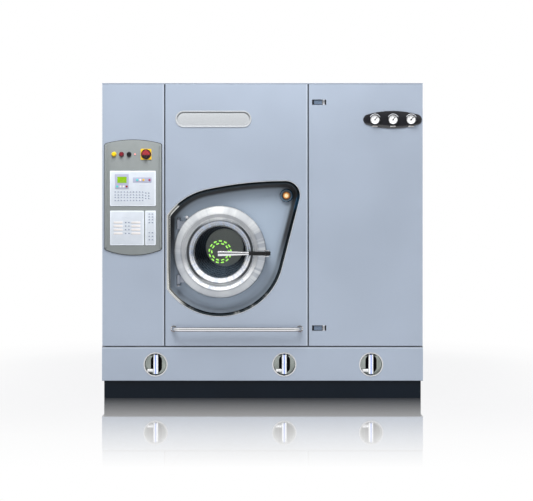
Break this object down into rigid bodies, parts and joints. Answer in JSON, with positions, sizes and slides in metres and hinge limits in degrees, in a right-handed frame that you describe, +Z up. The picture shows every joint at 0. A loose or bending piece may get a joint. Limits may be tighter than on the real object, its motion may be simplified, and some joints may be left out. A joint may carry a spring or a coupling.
{
  "type": "dry cleaning machine",
  "caption": "Industrial dry cleaning machine: blue-grey cabinet with a round glazed loading door, control panel, gauges, guard rail, sight ports and full internals.",
  "frame": {"origin": "on the floor under the middle of the machine's bounding box", "axes": "+X to the right seen from the front, +Y to the back, +Z up"},
  "size_m": [2, 1.46, 1.966],
  "materials": {
    "paint": "satin metallic blue-grey",
    "plinth_paint": "satin near-black",
    "frame_paint": "satin grey",
    "bezel_grey": "fine matt grey",
    "stainless": "brushed",
    "polished": "polished",
    "galvanised": "galvanised sheet",
    "black_plastic": "matt black",
    "gloss_black": "gloss black",
    "membrane": "smooth printed film",
    "yellow_plastic": "gloss yellow",
    "red_plastic": "gloss red",
    "lamp": "orange lens in a black bezel",
    "clear_glass": "clear",
    "white_tube": "milky glass",
    "rubber": "matt",
    "cast_iron": "machined and painted",
    "machine_blue": "gloss enamel",
    "needle_black": "matt",
    "copper_pipe": "drawn tube"
  },
  "bodies": {
    "cabinet": {"base_frame": "plinth_paint", "spill_tray": "galvanised", "solvent_tanks": "stainless", "base_front_panel": "paint", "sight_ports": "polished", "level_tubes": "white_tube", "body_frame": "frame_paint", "left_side_panel": "paint", "right_side_panel": "paint", "top_panel": "paint", "rear_panel": "paint", "front_panel": "paint", "recess_pan": "paint", "recess_trim": "polished", "name_plate": "stainless", "guard_rail": "polished", "recess_lamp": "lamp", "hinge_pins": "polished", "tub_shell": "stainless", "loading_collar": "stainless", "bearing_housing": "cast_iron", "drive_motor": "machine_blue", "drive_belt": "rubber", "drying_duct": "galvanised", "fan_housing": "galvanised", "still_vessel": "stainless", "filter_vessels": "stainless", "solvent_pump": "machine_blue", "cooling_unit": "gloss_black", "solvent_pipes": "copper_pipe", "electrical_gear": "galvanised", "service_connections": "polished"},
    "control_door": {"control_door": "paint", "control_bezel": "bezel_grey", "membrane_panels": "membrane", "button_collars": "black_plastic", "switch_plate": "yellow_plastic"},
    "main_switch": {"switch_knob": "red_plastic"},
    "yellow_button": {"yellow_button": "yellow_plastic"},
    "red_button": {"red_button": "red_plastic"},
    "black_button": {"black_button": "black_plastic"},
    "service_door": {"service_door": "paint", "gauge_panel": "gloss_black", "gauge_bodies": "black_plastic", "latch_cups": "black_plastic"},
    "left_needle": {"left_needle": "needle_black"},
    "middle_needle": {"middle_needle": "needle_black"},
    "right_needle": {"right_needle": "needle_black"},
    "upper_latch": {"upper_latch": "polished"},
    "lower_latch": {"lower_latch": "polished"},
    "loading_door": {"door_ring": "stainless", "door_funnel": "polished", "door_glass": "clear_glass", "door_gasket": "rubber"},
    "door_lever": {"door_lever": "polished", "lever_grip": "black_plastic"},
    "drum": {"drum_basket": "stainless", "drum_pulley": "cast_iron"},
    "motor_rotor": {"motor_pulley": "cast_iron"},
    "fan_rotor": {"fan_impeller": "galvanised"}
  },
  "joints": [
    {"name": "control_door_swing", "type": "hinge", "parent": "cabinet", "child": "control_door", "pos_m": [-0.988, -0.658, 1.143], "axis": [0, 0, -1], "range_deg": [0, 105]},
    {"name": "service_door_swing", "type": "hinge", "parent": "cabinet", "child": "service_door", "pos_m": [0.988, -0.658, 1.143], "axis": [0, 0, 1], "range_deg": [0, 105]},
    {"name": "loading_door_swing", "type": "hinge", "parent": "cabinet", "child": "loading_door", "pos_m": [-0.526, -0.64, 0.913], "axis": [0, 0, -1], "range_deg": [0, 95]},
    {"name": "lever_swing", "type": "hinge", "parent": "loading_door", "child": "door_lever", "pos_m": [0.033, -0.694, 0.906], "axis": [0, 0, 1], "range_deg": [0, 75]},
    {"name": "main_switch_turn", "type": "hinge", "parent": "control_door", "child": "main_switch", "pos_m": [-0.7245, -0.682, 1.522], "axis": [0, 1, 0], "range_deg": [0, 90]},
    {"name": "yellow_button_press", "type": "slide", "parent": "control_door", "child": "yellow_button", "axis": [0, 1, 0], "range_m": [0, 0.004], "stiffness_N_per_m": 400},
    {"name": "red_button_press", "type": "slide", "parent": "control_door", "child": "red_button", "axis": [0, 1, 0], "range_m": [0, 0.004], "stiffness_N_per_m": 400},
    {"name": "black_button_press", "type": "slide", "parent": "control_door", "child": "black_button", "axis": [0, 1, 0], "range_m": [0, 0.004], "stiffness_N_per_m": 400},
    {"name": "left_needle_turn", "type": "hinge", "parent": "service_door", "child": "left_needle", "pos_m": [0.7, -0.682, 1.738], "axis": [0, 1, 0], "range_deg": [-175, 90], "stiffness_Nm_per_rad": 0.006},
    {"name": "middle_needle_turn", "type": "hinge", "parent": "service_door", "child": "middle_needle", "pos_m": [0.8125, -0.682, 1.738], "axis": [0, 1, 0], "range_deg": [-175, 90], "stiffness_Nm_per_rad": 0.006},
    {"name": "right_needle_turn", "type": "hinge", "parent": "service_door", "child": "right_needle", "pos_m": [0.925, -0.682, 1.738], "axis": [0, 1, 0], "range_deg": [-175, 90], "stiffness_Nm_per_rad": 0.006},
    {"name": "upper_latch_pull", "type": "hinge", "parent": "service_door", "child": "upper_latch", "pos_m": [0.367, -0.662, 1.847], "axis": [0, 0, 1], "range_deg": [0, 35], "stiffness_Nm_per_rad": 0.4},
    {"name": "lower_latch_pull", "type": "hinge", "parent": "service_door", "child": "lower_latch", "pos_m": [0.367, -0.662, 0.44], "axis": [0, 0, 1], "range_deg": [0, 35], "stiffness_Nm_per_rad": 0.4},
    {"name": "drum_spin", "type": "hinge", "parent": "cabinet", "child": "drum", "pos_m": [-0.266, 0, 0.913], "axis": [0, 1, 0], "continuous": true},
    {"name": "motor_spin", "type": "hinge", "parent": "cabinet", "child": "motor_rotor", "pos_m": [0.18, 0, 0.48], "axis": [0, 1, 0], "continuous": true},
    {"name": "fan_spin", "type": "hinge", "parent": "cabinet", "child": "fan_rotor", "pos_m": [-0.266, 0, 1.74], "axis": [0, 1, 0], "continuous": true}
  ],
  "couplings": [
    {"joint": "motor_spin", "follows": "drum_spin", "ratio": 6}
  ]
}
